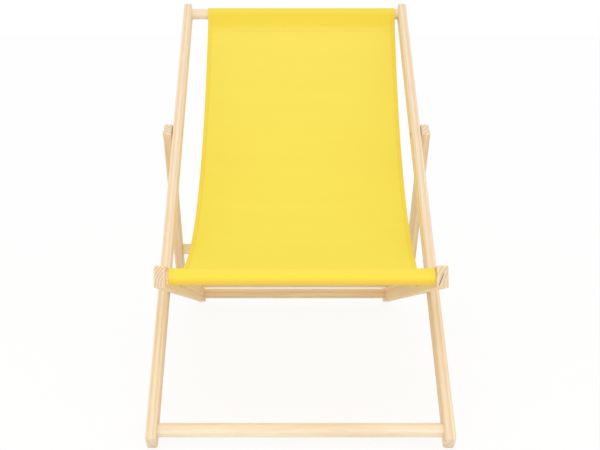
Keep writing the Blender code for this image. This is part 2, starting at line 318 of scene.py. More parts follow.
def modify(thing, kind, **settings):
    """Adds a modifier and applies it."""
    only(thing)
    modifier = thing.modifiers.new(kind.title(), kind)
    for name, value in settings.items():
        setattr(modifier, name, value)
    bpy.ops.object.modifier_apply(modifier=modifier.name)


def soften(thing, width, segments):
    """Rounds a piece's sharp edges."""
    modify(thing, "BEVEL", width=width, segments=segments, limit_method="ANGLE", angle_limit=SHARP_ANGLE)


def cut(thing, tool):
    """Cuts a tool's shape out of a piece and removes the tool."""
    modify(thing, "BOOLEAN", object=tool, operation="DIFFERENCE", solver="EXACT")
    bpy.data.objects.remove(tool)


def rod(name, radius, start, end, spot, sides=48):
    """A round bar along X from start to end, at the height and depth of a spot."""
    deselect()
    place = ((start + end) / 2, spot.y, spot.z)
    bpy.ops.mesh.primitive_cylinder_add(vertices=sides, radius=radius, depth=abs(end - start),
                                        location=place, rotation=(0, pi / 2, 0), end_fill_type="NGON")
    return started(name)


def drill(thing, radius, start, end, spot, sides=48):
    """Bores a round hole along X."""
    cut(thing, rod("drill", radius, start, end, spot, sides))


def block(name, extent, place, axes):
    """A box of this extent, with its middle at a place, on these axes."""
    deselect()
    bpy.ops.mesh.primitive_cube_add(size=1, location=place, rotation=axes.to_euler(), scale=extent)
    return started(name)


def settle(thing, label, slot, finish):
    """Cleans a piece's mesh and gives it its shading, its material and its place in the frame."""
    only(thing)
    bpy.ops.object.transform_apply(location=True, rotation=True, scale=True)
    with edit_mode(thing):
        bpy.ops.mesh.remove_doubles(threshold=MERGE)
        bpy.ops.mesh.normals_make_consistent(inside=False)
    bpy.ops.object.shade_smooth_by_angle(angle=SMOOTH_ANGLE)
    modify(thing, "WEIGHTED_NORMAL", keep_sharp=True)
    thing.data.materials.clear()
    thing.data.materials.append(finish)
    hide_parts(label)
    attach(thing, frame["nodes"][label]["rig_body"])


# Materials

# A wave texture repeats every pi / 10 of its scaled coordinate
WAVE_PERIOD = pi / 10
# Sockets of a Mix node: its factor, then two colours and their result, or two numbers and theirs
MIX_FACTOR = 0
MIX_A, MIX_B, MIX_RESULT = 6, 7, 2
NUMBER_A, NUMBER_B, NUMBER_RESULT = 2, 3, 0
# How much slower the rings waver along a board than across it
RING_DRIFT = 0.05

Heart = namedtuple("Heart", "across deep ring warm shade ends grey", defaults=(0.0,))
# Where the tree's heart lies from the middle of each piece, the width of its yearly rings, how much of the
# orange of painted shade its faces take, the share of light painted into its colour, how strongly its sawn
# ends show their rings, and how grey those ends are
HEARTS = {
    "back_rail_left": Heart(0.052, 0.016, 0.0098, 0.0, 1.0, 0.4),
    "back_rail_right": Heart(-0.047, 0.021, 0.0104, 0.0, 0.99, 0.4),
    "seat_rail_left": Heart(0.036, -0.016, 0.0048, 0.7, 1.0, 0.8, 0.3),
    "seat_rail_right": Heart(0.033, -0.014, 0.0068, 0.9, 1.0, 0.45, 0.4),
    "prop_rail_left": Heart(0.026, 0.034, 0.0080, 0.9, 0.86, 0.8),
    "prop_rail_right": Heart(-0.038, 0.028, 0.0086, 0.4, 0.93, 0.8),
    "foot_dowel": Heart(0.018, 0.031, 0.0092, 0.0, 1.0, 0.6),
    "top_dowel": Heart(-0.024, 0.022, 0.0086, 0.0, 0.97, 0.6),
    "front_dowel": Heart(0.020, -0.027, 0.0090, 0.0, 1.0, 0.6),
    "rear_dowel": Heart(-0.019, -0.032, 0.0085, 0.6, 1.0, 0.6),
    "prop_cross_bar": Heart(0.026, 0.020, 0.0088, 0.2, 1.0, 0.6),
    "prop_notch_bar": Heart(-0.014, 0.035, 0.0083, 0.3, 1.0, 0.6),
}


def node(tree, kind, links=None, stops=None, **settings):
    """Adds a node. links gives each socket a value or another node's output, stops fill a colour ramp."""
    made = tree.nodes.new(kind)
    for name, value in settings.items():
        setattr(made, name, value)
    for socket, value in (links or {}).items():
        if isinstance(value, bpy.types.NodeSocket):
            tree.links.new(value, made.inputs[socket])
        else:
            made.inputs[socket].default_value = value
    if stops:
        ramp = made.color_ramp.elements
        while len(ramp) < len(stops):
            ramp.new(1.0)
        for element, (position, colour) in zip(ramp, stops):
            element.position = position
            element.color = colour
    return made


def new_material(name):
    """A material and its empty tree."""
    material = bpy.data.materials.new(name)
    material.use_nodes = True
    material.node_tree.nodes.clear()
    return material, material.node_tree


def finished(material, sockets):
    """A material with its shader's sockets filled and joined to the output."""
    shader = node(material.node_tree, "ShaderNodeBsdfPrincipled", sockets)
    node(material.node_tree, "ShaderNodeOutputMaterial", {"Surface": shader.outputs["BSDF"]})
    return material


def shaded(colour, share):
    """A colour darkened to a share of its light."""
    return [channel * share for channel in colour[:3]] + [1.0]


def between(start, end, share):
    """A colour on the way from one colour to another."""
    return [a + (b - a) * share for a, b in zip(start, end)]


def flecks(tree, surface, width, length, detail=2.0):
    """Uneven flecks of a real width, and of a real length along a surface's y."""
    drawn_out = node(tree, "ShaderNodeMapping",
                     {"Vector": surface, "Scale": (1 / width, 1 / length, 1 / width)})
    uneven = node(tree, "ShaderNodeTexNoise",
                  {"Vector": drawn_out.outputs[0], "Scale": 1.0, "Detail": detail})
    return uneven.outputs["Fac"]


def darkened(tree, colour, pattern, low, high, dark):
    """A colour that is darkest where a pattern is low, and plain where it is high."""
    shades = node(tree, "ShaderNodeValToRGB", {"Fac": pattern},
                  stops=[(low, shaded(WHITE, dark)), (high, WHITE)])
    both = node(tree, "ShaderNodeMix", {MIX_FACTOR: 1.0, MIX_A: colour, MIX_B: shades.outputs[0]},
                data_type="RGBA", blend_type="MULTIPLY")
    return both.outputs[MIX_RESULT]


def wood_tones(early, late, heart, timber):
    """A piece's pale and dark colours on its faces, with its painted shade and painted light, and the same
    on its sawn ends.
    """
    # The faces take the orange of painted shade and are darkened to each piece's share of painted light
    faces = [shaded(between(plain, warm, heart.warm), heart.shade)
             for plain, warm in ((early, timber.warm_shade_early), (late, timber.warm_shade_late))]
    ends = [between(timber.end_wood, timber.end_ring, share)
            for share in (heart.grey, heart.grey + heart.ends)]
    return faces, ends


def yearly_rings(tree, board, heart):
    """The bands of a tree's years round its heart, which darken slowly and end sharply."""
    drawn_out = node(tree, "ShaderNodeMapping", {"Vector": board, "Scale": (1, RING_DRIFT, 1)})
    rings = node(tree, "ShaderNodeTexWave",
                 {"Vector": drawn_out.outputs[0], "Scale": WAVE_PERIOD / heart.ring, "Distortion": 3.0,
                  "Detail": 2.0, "Detail Scale": 0.4, "Detail Roughness": 0.5},
                 wave_type="RINGS", rings_direction="Y", wave_profile="SAW")
    return rings.outputs["Fac"]


def sawn_ends(tree, normal, lengthwise):
    """1 on the faces that look along a board, and 0 on the others."""
    facing = node(tree, "ShaderNodeVectorMath", {0: normal, 1: lengthwise}, operation="DOT_PRODUCT")
    squareness = node(tree, "ShaderNodeMath", {0: facing.outputs["Value"]}, operation="ABSOLUTE")
    share = node(tree, "ShaderNodeMapRange",
                 {"Value": squareness.outputs[0], "From Min": 0.7, "From Max": 0.95})
    return share.outputs[0]


def pine(name, place, turn, heart, tones, timber):
    """Planed pine, left bare: yearly rings that show as soft bands on the faces and as arcs on the ends,
    fine fibres, pinkish patches, and sawn ends that are darker because their pores face the eye."""
    material, tree = new_material(name)
    coordinates = node(tree, "ShaderNodeTexCoord")
    turned = Euler(turn).to_matrix()
    centre = -(turned @ place + Vector((heart.across, 0, heart.deep)))
    lying = node(tree, "ShaderNodeMapping",
                 {"Vector": coordinates.outputs["Object"], "Location": centre, "Rotation": turn})
    board = lying.outputs[0]
    rings = yearly_rings(tree, board, heart)
    fibres = flecks(tree, board, timber.fibre_width, timber.fibre_length)
    patches = flecks(tree, board, timber.patch_width, timber.patch_length, detail=1.0)
    face_rings, end_rings = [
        node(tree, "ShaderNodeValToRGB", {"Fac": rings},
             stops=[(0.0, early), (0.35, early), (0.78, late), (0.88, late), (1.0, early)])
        for early, late in tones]
    patch_share = node(tree, "ShaderNodeMapRange",
                       {"Value": patches, "From Min": 0.4, "From Max": 0.7, "To Max": 0.7})
    flushed = node(tree, "ShaderNodeMix",
                   {MIX_FACTOR: patch_share.outputs[0], MIX_A: face_rings.outputs[0], MIX_B: timber.flush},
                   data_type="RGBA")
    lengthwise = turned.transposed() @ Vector((0, 1, 0))
    ended = node(tree, "ShaderNodeMix",
                 {MIX_FACTOR: sawn_ends(tree, coordinates.outputs["Normal"], lengthwise),
                  MIX_A: flushed.outputs[MIX_RESULT], MIX_B: end_rings.outputs[0]}, data_type="RGBA")
    fibrous = darkened(tree, ended.outputs[MIX_RESULT], fibres, low=0.3, high=0.62, dark=0.90)
    sheen = node(tree, "ShaderNodeMapRange", {"Value": fibres, "To Min": 0.62, "To Max": 0.48})
    relief = node(tree, "ShaderNodeMath", {0: rings, 1: 0.5, 2: fibres}, operation="MULTIPLY_ADD")
    bump = node(tree, "ShaderNodeBump", {"Height": relief.outputs[0], "Strength": 0.25, "Distance": 0.0004})
    return finished(material, {"Base Color": fibrous, "Roughness": sheen.outputs[0], "IOR": 1.5,
                               "Normal": bump.outputs[0]})


def zinc_plate(fittings):
    """Yellow zinc plating on steel: a pale gold metal, slightly cloudy, with a fine grain from the bath."""
    material, tree = new_material("yellow_zinc_plated_steel")
    here = node(tree, "ShaderNodeTexCoord").outputs["Object"]
    clouds = flecks(tree, here, fittings.zinc_cloud, fittings.zinc_cloud)
    plating = darkened(tree, fittings.zinc, clouds, low=0.3, high=0.7, dark=0.8)
    polish = node(tree, "ShaderNodeMapRange", {"Value": clouds, "To Min": 0.22, "To Max": 0.45})
    grain = flecks(tree, here, fittings.zinc_grain, fittings.zinc_grain)
    bump = node(tree, "ShaderNodeBump", {"Height": grain, "Strength": 0.1, "Distance": 0.0001})
    return finished(material, {"Base Color": plating, "Roughness": polish.outputs[0], "Metallic": 1.0,
                               "Normal": bump.outputs[0]})


def natural_nylon(fittings):
    """Moulded natural nylon: milky, half matt, with faint flow marks."""
    material, tree = new_material("moulded_nylon")
    here = node(tree, "ShaderNodeTexCoord").outputs["Object"]
    flow = flecks(tree, here, fittings.nylon_flow, fittings.nylon_flow)
    milky = darkened(tree, fittings.nylon, flow, low=0.3, high=0.7, dark=0.9)
    return finished(material, {"Base Color": milky, "Roughness": 0.45})


def polyester_thread(sling):
    """Twisted polyester sewing thread: a slight gloss, and painted light and shade in patches as long as a
    turn of its twist.
    """
    material, tree = new_material("twisted_polyester_thread")
    here = node(tree, "ShaderNodeTexCoord").outputs["Object"]
    twist = flecks(tree, here, sling.twist, sling.twist)
    twist_shaded = darkened(tree, sling.sewing, twist, low=0.35, high=0.65, dark=0.8)
    return finished(material, {"Base Color": twist_shaded, "Roughness": 0.5})


def weave(tree, flat, yarn):
    """Height of a plain weave, where warp and weft lie on top in turn."""
    pairs, yarns = [
        [node(tree, "ShaderNodeTexWave", {"Vector": flat, "Scale": WAVE_PERIOD / period},
              bands_direction=way).outputs["Fac"] for way in "XY"]
        for period in (2 * yarn, yarn)]
    lifted = node(tree, "ShaderNodeMath", {0: pairs[0], 1: pairs[1]}, operation="SUBTRACT")
    over = node(tree, "ShaderNodeMath", {0: lifted.outputs[0]}, operation="ABSOLUTE")
    crossing = node(tree, "ShaderNodeMix", {MIX_FACTOR: over.outputs[0], NUMBER_A: yarns[0],
                                            NUMBER_B: yarns[1]}, data_type="FLOAT")
    return crossing.outputs[NUMBER_RESULT]


def canvas_dye(tree, flat, sling):
    """The canvas's yellow, with painted light and shade: paler towards the top, and a deeper yellow where
    it is doubled and on the underside of a roll.
    """
    along = node(tree, "ShaderNodeSeparateXYZ", {0: flat}).outputs["Y"]
    # Painted light: paler towards the top
    top_paling = node(tree, "ShaderNodeMapRange",
                  {"Value": along, "From Min": sling.pale_from, "From Max": sling.free_length})
    doubled, pressed = [node(tree, "ShaderNodeAttribute", attribute_name=name).outputs["Fac"]
                        for name in ("doubled", "pressed")]
    dye = sling.canvas
    yellows = ((top_paling.outputs[0], sling.painted_pale_top), (doubled, sling.doubled), (pressed, sling.pressed))
    for share, yellow in yellows:
        dye = node(tree, "ShaderNodeMix", {MIX_FACTOR: share, MIX_A: dye, MIX_B: yellow},
                   data_type="RGBA").outputs[MIX_RESULT]
    return dye


def polyester_canvas(sling):
    """Polyester canvas in plain weave: matt and even, with crossing yarns close up and painted shade
    between them, soft bands where the weft varies, and painted shade, a deeper yellow, where hems and
    sleeves are two layers thick and let less light through."""
    material, tree = new_material("woven_polyester_canvas")
    flat = node(tree, "ShaderNodeUVMap", uv_map="cloth").outputs[0]
    bands = flecks(tree, flat, sling.slub_length, sling.slub_width, detail=3.0)
    banded = darkened(tree, canvas_dye(tree, flat, sling), bands, low=0.3, high=0.7, dark=0.985)
    crossing = weave(tree, flat, sling.yarn)
    # Painted shade where the yarns dip under one another
    weave_shaded = darkened(tree, banded, crossing, low=0.0, high=0.7, dark=0.92)
    bump = node(tree, "ShaderNodeBump", {"Height": crossing, "Strength": 0.3, "Distance": 0.0002})
    return finished(material, {"Base Color": weave_shaded, "Roughness": 0.85, "Specular IOR Level": 0.25,
                               "Normal": bump.outputs[0]})


def white_paper(stage):
    """Matt white paper, which the eye and shiny pieces see as almost white, and which keeps the shadow."""
    material, tree = new_material("white_paper")
    matt = node(tree, "ShaderNodeBsdfPrincipled",
                {"Base Color": stage.paper, "Roughness": 0.95, "Specular IOR Level": 0.0})
    rays = node(tree, "ShaderNodeLightPath").outputs
    seen = rays["Is Camera Ray"]
    for mirrored in (rays["Is Glossy Ray"], rays["Is Transmission Ray"]):
        seen = node(tree, "ShaderNodeMath", {0: seen, 1: mirrored}, operation="MAXIMUM").outputs[0]
    share = node(tree, "ShaderNodeMath", {0: seen, 1: stage.whiteness}, operation="MULTIPLY")
    glow = node(tree, "ShaderNodeEmission", {"Color": WHITE, "Strength": 1.0})
    both = node(tree, "ShaderNodeMixShader", {0: share.outputs[0], 1: matt.outputs[0], 2: glow.outputs[0]})
    node(tree, "ShaderNodeOutputMaterial", {"Surface": both.outputs[0]})
    return material


# Rails and dowels

# An edge that points this nearly along its board is a long one
LENGTHWISE = 0.9
# Places in the row of notches, counted to the rear from the one that the prop's bar lies in
NOTCH_PLACES = (-2, -1, 0, 1)
# Extent of the cutter for the easing
EASING = Vector((0.06, 0.20, 0.05))
# Where the crack's middle lies from the middle of the rail's end, and how far it leans over
CRACK_ACROSS, CRACK_UP, CRACK_LEAN = -0.0034, -0.0049, 0.43


def board_box(label, along):
    """Middle and extent of a rail, measured along its thickness, its length and its depth."""
    axes = basis(along)
    points = [axes.transposed() @ corner.co for corner in frame["nodes"][label].data.vertices]
    low = Vector(min(point[axis] for point in points) for axis in range(3))
    high = Vector(max(point[axis] for point in points) for axis in range(3))
    return axes @ ((low + high) / 2), high - low


def countersink(board, screw, side, fittings):
    """Cuts the cone for a screw's head and the hole for its shank, through the rail's outer face."""
    way = SIDES[side]
    face = outer_end(screw, way) + way * GAP
    spot = middle(screw)
    shank = fittings.screw_radius + GAP
    wide = spread(screw).z / 2 + 3 * GAP + PAST
    depth = wide - shank
    place = (face + way * (PAST - depth / 2), spot.y, spot.z)
    deselect()
    bpy.ops.mesh.primitive_cone_add(vertices=48, radius1=shank, radius2=wide, depth=depth, location=place,
                                    rotation=(0, way * pi / 2, 0))
    cut(board, started("countersink"))
    drill(board, shank, face, face - way * spread(screw).x, spot, sides=24)


def dowel_socket(board, dowel, side):
    """Bores the blind hole that takes a dowel's end."""
    way = SIDES[side]
    end = outer_end(dowel, way)
    drill(board, spread(dowel).z / 2 + GAP, end + way * GAP, end - way * REACH, middle(dowel), sides=64)


def pivot_bore(board, label, pivot, side, fittings):
    """Bores a rail for a pivot's sleeve, with a recess for the nut's head in the inner rail."""
    spot = middle(f"{pivot}_bolt_{side}")
    drill(board, fittings.sleeve_radius + GAP, *right_through(label), spot)
    _, inner = PIVOTS[pivot]
    if label == f"{inner}_{side}":
        nut = f"{pivot}_sleeve_nut_{side}"
        way = SIDES[side]
        head = outer_end(nut, -way)
        floor = head + way * (fittings.flange_thick + GAP)
        drill(board, spread(nut).z / 2 + GAP, head - way * PAST, floor, spot)


def notches(board, label, along, timber):
    """Cuts the row of notches for the prop's bar, and the easing behind the one that it lies in."""
    above = square_to(along)
    bar = middle("prop_notch_bar")
    radius = spread("prop_notch_bar").z / 2 + GAP
    for place in NOTCH_PLACES:
        drop = timber.free_notch_drop if place else 0.0
        spot = bar + along * place * timber.notch_spacing - above * drop
        drill(board, radius, *right_through(label), spot, sides=72)
    rise = Matrix.Rotation(timber.ramp_angle, 3, "X") @ along
    corner = bar - above * radius + X_AXIS * middle(label).x
    centre = corner + rise * EASING.y / 2 + square_to(rise) * EASING.z / 2
    cut(board, block("easing", EASING, centre, basis(rise)))


def split(board, end, along, timber):
    """Opens a short drying crack in a rail's end."""
    above = square_to(along)
    lean = (above + X_AXIS * CRACK_LEAN).normalized()
    axes = Matrix((lean.cross(along), lean, along)).transposed()
    extent = (timber.crack_width, timber.crack_length, 2 * timber.crack_depth)
    deselect()
    bpy.ops.mesh.primitive_cylinder_add(vertices=32, radius=0.5, depth=1, rotation=axes.to_euler(),
                                        location=end + X_AXIS * CRACK_ACROSS + above * CRACK_UP,
                                        scale=extent)
    cut(board, started("crack"))


def plank(name, extent, place, along, timber):
    """A planed board, with rounder ends than edges."""
    board = block(name, extent, place, basis(along))
    weights = board.data.attributes.new("bevel_weight_edge", "FLOAT", "EDGE")
    for edge in board.data.edges:
        start, end = (board.data.vertices[index].co for index in edge.vertices)
        long_edge = abs((end - start).normalized().dot(along)) > LENGTHWISE
        weights.data[edge.index].value = timber.edge_round / timber.end_round if long_edge else 1.0
    modify(board, "BEVEL", width=timber.end_round, segments=6, limit_method="WEIGHT")
    return board


def rail(kind, dowels, side, timber, fittings):
    """One pine rail, planed, bored for its dowels, screws and pivots, and sawn level with the floor."""
    label = f"{kind}_{side}"
    along = heading(*dowels)
    place, extent = board_box(label, along)
    board = plank(f"{label}_planed", extent, place, along, timber)
    for dowel in dowels:
        dowel_socket(board, dowel, side)
        countersink(board, f"{dowel}_screw_{side}", side, fittings)
    for pivot, rails in PIVOTS.items():
        if kind in rails:
            pivot_bore(board, label, pivot, side, fittings)
    if kind == "seat_rail":
        notches(board, label, along, timber)
    if label == "seat_rail_right":
        split(board, place - along * extent.y / 2, along, timber)
    with edit_mode(board):
        bpy.ops.mesh.bisect(plane_co=(0, 0, 0), plane_no=(0, 0, 1), use_fill=True, clear_inner=True)
    turn = (-atan2(along.z, along.y), 0, 0)
    heart = HEARTS[label]
    tones = wood_tones(timber.early_wood, timber.late_wood, heart, timber)
    settle(board, label, "wood", pine(f"planed_pine_{label}", place, turn, heart, tones, timber))


def dowel_bar(label, timber, fittings):
    """One turned dowel, with eased ends and the screws' pilot holes."""
    low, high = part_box(label)
    spot = middle(label)
    bar = rod(f"{label}_turned", spread(label).z / 2, low.x, high.x, spot, sides=96)
    soften(bar, timber.dowel_round, segments=3)
    for side, way in SIDES.items():
        end = outer_end(label, way)
        inner = outer_end(f"{label}_screw_{side}", -way)
        drill(bar, fittings.screw_radius + GAP, end + way * PAST, inner - way * GAP, spot, sides=24)
    turn = (0, 0, pi / 2)
    heart = HEARTS[label]
    tones = wood_tones(timber.dowel_early, timber.dowel_late, heart, timber)
    settle(bar, label, "dowel", pine(f"turned_pine_{label}", spot, turn, heart, tones, timber))


# Fittings

# A face that is this nearly square to X is an end
END_ON = 0.99
# Width of a screw's tip, as a share of its shank
TIP_SHARE = 0.15


def blank(name, radius, thickness):
    """A disc on the X axis, with its outer face on x = 0."""
    return rod(name, radius, -thickness, 0, ORIGIN)


def pick_cap(thing, way):
    """Selects the end face that is furthest out this way along X, in edit mode."""
    bpy.ops.mesh.select_mode(type="FACE")
    mesh = bmesh.from_edit_mesh(thing.data)
    caps = [face for face in mesh.faces if face.normal.x * way > END_ON]
    end = max(caps, key=lambda face: face.calc_center_median().x * way)
    for face in mesh.faces:
        face.select_set(face == end)
    mesh.select_flush_mode()
    bmesh.update_edit_mesh(thing.data)


def draw_out(thing, start, length, share=1.0):
    """Extrudes the inner end along -X from where it starts, and scales it to a share of its width."""
    pick_cap(thing, -1)
    bpy.ops.mesh.extrude_region_move(TRANSFORM_OT_translate={"value": (-length, 0, 0)})
    if share != 1.0:
        bpy.ops.transform.resize(value=(1, share, share), center_override=(start - length, 0, 0))


def key_socket(thing, fittings):
    """Cuts the hexagon socket into a head's outer face."""
    drill(thing, fittings.key_radius, -fittings.key_depth, PAST, ORIGIN, sides=6)


def headed(name, label, shank, fittings):
    """A low round head with a shank behind it, as long as a CAD node."""
    extent = spread(label)
    radius = extent.z / 2
    thing = blank(name, radius, fittings.flange_thick)
    with edit_mode(thing):
        pick_cap(thing, 1)
        bpy.ops.mesh.bevel(offset=fittings.flange_round, segments=4, affect="EDGES")
        pick_cap(thing, -1)
        bpy.ops.mesh.inset(thickness=radius - shank)
        draw_out(thing, -fittings.flange_thick, extent.x - fittings.flange_thick)
    key_socket(thing, fittings)
    return thing


def connector_bolt(label, fittings):
    """The bolt of a pivot, with its end chamfered."""
    thing = headed("bolt", label, fittings.bolt_radius, fittings)
    with edit_mode(thing):
        pick_cap(thing, -1)
        bpy.ops.mesh.bevel(offset=fittings.bolt_chamfer, segments=1, affect="EDGES")
    return thing


def sleeve_nut(label, fittings):
    """The nut of a pivot, bored for the bolt."""
    thing = headed("nut", label, fittings.sleeve_radius, fittings)
    open_end = -spread(label).x - PAST
    drill(thing, fittings.bolt_radius + GAP, open_end, -2 * fittings.flange_thick, ORIGIN)
    return thing


def washer(label, fittings):
    """The thin washer between two rails."""
    extent = spread(label)
    thing = blank("washer", extent.z / 2, extent.x)
    soften(thing, extent.x / 4, segments=2)
    drill(thing, fittings.sleeve_radius + GAP, -extent.x - PAST, PAST, ORIGIN)
    return thing


def wood_screw(label, fittings):
    """A countersunk screw with a plain shank and a point."""
    extent = spread(label)
    head = extent.z / 2
    cone = head - fittings.screw_radius
    shank = extent.x - fittings.screw_rim - cone - fittings.screw_point
    thing = blank("screw", head, fittings.screw_rim)
    with edit_mode(thing):
        draw_out(thing, -fittings.screw_rim, cone, fittings.screw_radius / head)
        draw_out(thing, -fittings.screw_rim - cone, shank)
        draw_out(thing, -fittings.screw_rim - cone - shank, fittings.screw_point, TIP_SHARE)
    key_socket(thing, fittings)
    return thing


def put_copies(master, labels, slot, process, finish):
    """Copies a fitting to each CAD node that it stands for, given with the way that its head faces."""
    for label, way in labels.items():
        only(master)
        bpy.ops.object.duplicate(linked=False)
        copy = bpy.context.object
        copy.name = f"{label}_{process}"
        spot = middle(label)
        copy.location = (outer_end(label, way), spot.y, spot.z)
        copy.rotation_euler.z = 0 if way > 0 else pi
        settle(copy, label, slot, finish)
    bpy.data.objects.remove(master)


# Sling

# A section across the cloth: its middle and outward normal seen from the side, its distance along the cloth
# and from the packing fold, its slide along X, and how far it is loose, a flap, doubled and darkened by
# painted shade on a roll's underside
Station = namedtuple("Station", "place normal run from_fold shift loose under doubled pressed")
# A line along the cloth: its side, how far in from there it lies, its lift off the top layer, whether it
# stands out by the thickness of a hem on a flap, and whether it is doubled
Column = namedtuple("Column", "side inset lift thick doubled")

# Spacing of the cloth's sections along the hang and the flaps, in radians round a roll, and as shares of
# the straights beside it
HANG_STEP, FLAP_STEP, TURN_STEP, STRAIGHT_STEP = 0.0065, 0.003, 0.14, 0.1
# How much tighter or wider than its span a hang's bend may be, and how often the search halves that range
BEND_RANGE, HALVINGS = 40, 80
# Distance over which a slope is measured
PROBE = 0.001
# Distance from a seam over which the cloth's waves grow to their full height
EASE = 0.12
# How far up a roll's outward normal still points where the painted shade on its underside starts, and over
# what fall it deepens
ROLL_SHADE_FROM, ROLL_SHADE_OVER = 0.20, 0.65
# Number of lengthwise lines on the open cloth, where it starts, and the lines on a hem, both in hems
OPEN_LINES = 44
OPEN_FROM = 1.08
HEM_LINES = (0.25, 0.6)
# How far either side of a hem's edge its deeper yellow ends, in hems
HEM_BLUR = 0.03
# How far in from a fold's side and faces its rounded edge lies, as a share of its radius
FOLD_ROUND = 0.3
# Width, length and noise slice of the slack waves and of the gathers, and how far gathers and crease reach
RIPPLE_WIDE, RIPPLE_LONG, RIPPLE_SLICE = 1 / 4, 1 / 9, 4.7
GATHER_WIDE, GATHER_LONG, GATHER_SLICE = 1 / 9, 1 / 62, 1.3
GATHER_REACH, CREASE_REACH = 0.022, 0.012
# Rows of stitches from a hem's inner edge, a sleeve's seam and a flap's edge, and where the rows across end
HEM_ROW = 0.0017
SEAM_ROWS, FLAP_ROWS = (0.002, 0.006), (0.003, 0.007)
ROW_END = 0.002
# How far a thread's middle stands out of the cloth and how thick it is pulled flat, as shares of its radius
THREAD_PROUD, THREAD_FLAT = 0.3, 0.8


def hanging_line(low, high, length):
    """Where a cloth of this length hangs between two points, as a function of the distance along it."""
    span, rise = high.y - low.y, high.z - low.z
    level = sqrt(length ** 2 - rise ** 2)
    tight, slack = span / BEND_RANGE, span * BEND_RANGE
    for _ in range(HALVINGS):
        bend = sqrt(tight * slack)
        if 2 * bend * sinh(span / (2 * bend)) > level:
            tight = bend
        else:
            slack = bend
    lowest = (low.y + high.y) / 2 - bend * atanh(rise / length)
    first = sinh((low.y - lowest) / bend)

    def at(distance):
        lean = asinh(first + distance / bend)
        return Vector((lowest + bend * lean, low.z + bend * (cosh(lean) - cosh(asinh(first)))))

    return at


def flat_middle(label):
    """A dowel's middle seen from the side, as depth and height."""
    spot = middle(label)
    return Vector((spot.y, spot.z))


def steps(start, end, spacing):
    """Evenly spaced numbers from start up to, but not including, end."""
    count = ceil(abs(end - start) / spacing)
    return [start + (end - start) * index / count for index in range(count)]


def roll(dowel, from_seam, to_seam, radius):
    """The cloth from a seam straight to the roll, round it and straight back, seen from the side."""

    def tangent(seam):
        """The angle of a seam, and how far round from it a straight cloth touches the roll."""
        reach = seam - dowel
        return atan2(reach.y, reach.x), acos(radius / reach.length)

    def on_roll(angle):
        return dowel + Matrix.Rotation(angle, 2) @ Vector((radius, 0))

    first, opening = tangent(from_seam)
    last, closing = tangent(to_seam)
    start, end = first - opening, last + closing - 2 * pi
    there = [from_seam.lerp(on_roll(start), share) for share in steps(0, 1, STRAIGHT_STEP)]
    around = [on_roll(angle) for angle in steps(start, end, TURN_STEP)]
    back = [on_roll(end).lerp(to_seam, share) for share in steps(0, 1, STRAIGHT_STEP)]
    return there + around + back


def sling_route(sling):
    """The cloth's middle line seen from the side: from the flap under the front sleeve, round the front
    dowel, along the hang, round the top dowel and under the top sleeve. Each point says whether it is on a
    flap and whether it hangs free."""
    front = flat_middle("front_dowel") + Vector((0, sling.front_lift))
    top = flat_middle("top_dowel")
    hang = hanging_line(middle("front_dowel"), middle("top_dowel"), sling.free_length)
    low_seam, high_seam = sling.sleeve, sling.free_length - sling.sleeve

    def under(distance):
        """A point of a flap, one layer under the hang."""
        way = (hang(distance + PROBE) - hang(distance - PROBE)).normalized()
        return hang(distance) - Vector((-way.y, way.x)) * (sling.layer + GAP)

    low_flap = [under(distance) for distance in steps(low_seam + sling.flap, low_seam, FLAP_STEP)]
    high_flap = [under(distance) for distance in steps(high_seam, high_seam - sling.flap, FLAP_STEP)]
    high_flap.append(under(high_seam - sling.flap))
    low_roll = roll(front, under(low_seam), hang(low_seam), sling.roll_radius)
    high_roll = roll(top, hang(high_seam), under(high_seam), sling.roll_radius)
    open_cloth = [hang(distance) for distance in steps(low_seam, high_seam, HANG_STEP)]
    sections = [(low_flap, 1.0, 0.0), (low_roll, 0.0, 0.0), (open_cloth, 0.0, 1.0), (high_roll, 0.0, 0.0),
                (high_flap, 1.0, 0.0)]
    return [(point, flap, free) for points, flap, free in sections for point in points]


def within(share):
    """A share kept from 0 to 1."""
    return min(max(share, 0.0), 1.0)


def smooth(share):
    """Eases from 0 to 1."""
    share = within(share)
    return share * share * (3 - 2 * share)


def slide(depth, sling):
    """How far the sling has slid along X at a share of its depth."""
    slid = sqrt(max(0.0, depth - sling.straight_share) / (1 - sling.straight_share))
    return sling.shift_front + (sling.shift_top - sling.shift_front) * slid


def sling_stations(sling):
    """The cloth's cross-sections along its route."""
    route = sling_route(sling)
    front, top = flat_middle("front_dowel"), flat_middle("top_dowel")
    runs = [0.0]
    for (here, *_), (there, *_) in zip(route, route[1:]):
        runs.append(runs[-1] + (there - here).length)
    free = [run for run, (_, _, loose) in zip(runs, route) if loose]
    stations = []
    for index, (run, (place, flap, loose)) in enumerate(zip(runs, route)):
        before, after = route[max(index - 1, 0)][0], route[min(index + 1, len(route) - 1)][0]
        way = (after - before).normalized()
        normal = Vector((-way.y, way.x))
        shift = slide(within((place.x - front.x) / (top.x - front.x)), sling)
        from_fold = run - runs[-1] / 2
        ease = min(run - free[0], free[-1] - run) / EASE
        doubled = 0.0 if loose and ease > 0 else 1.0
        # Painted shade on the underside of a roll, deepest where its outward normal points down
        pressed = 0.0 if flap or loose else smooth((ROLL_SHADE_FROM - normal.y) / ROLL_SHADE_OVER)
        stations.append(Station(place, normal, run, from_fold, shift, smooth(ease), flap, doubled, pressed))
    return stations


def station_at(stations, run):
    """The cross-section at a distance along the cloth."""
    index = bisect_right([station.run for station in stations], run)
    index = min(max(index, 1), len(stations) - 1)
    here, there = stations[index - 1], stations[index]
    share = (run - here.run) / (there.run - here.run)
    normal = here.normal.lerp(there.normal, share).normalized()
    mixed = [a + (b - a) * share for a, b in zip(here[2:], there[2:])]
    return Station(here.place.lerp(there.place, share), normal, *mixed)


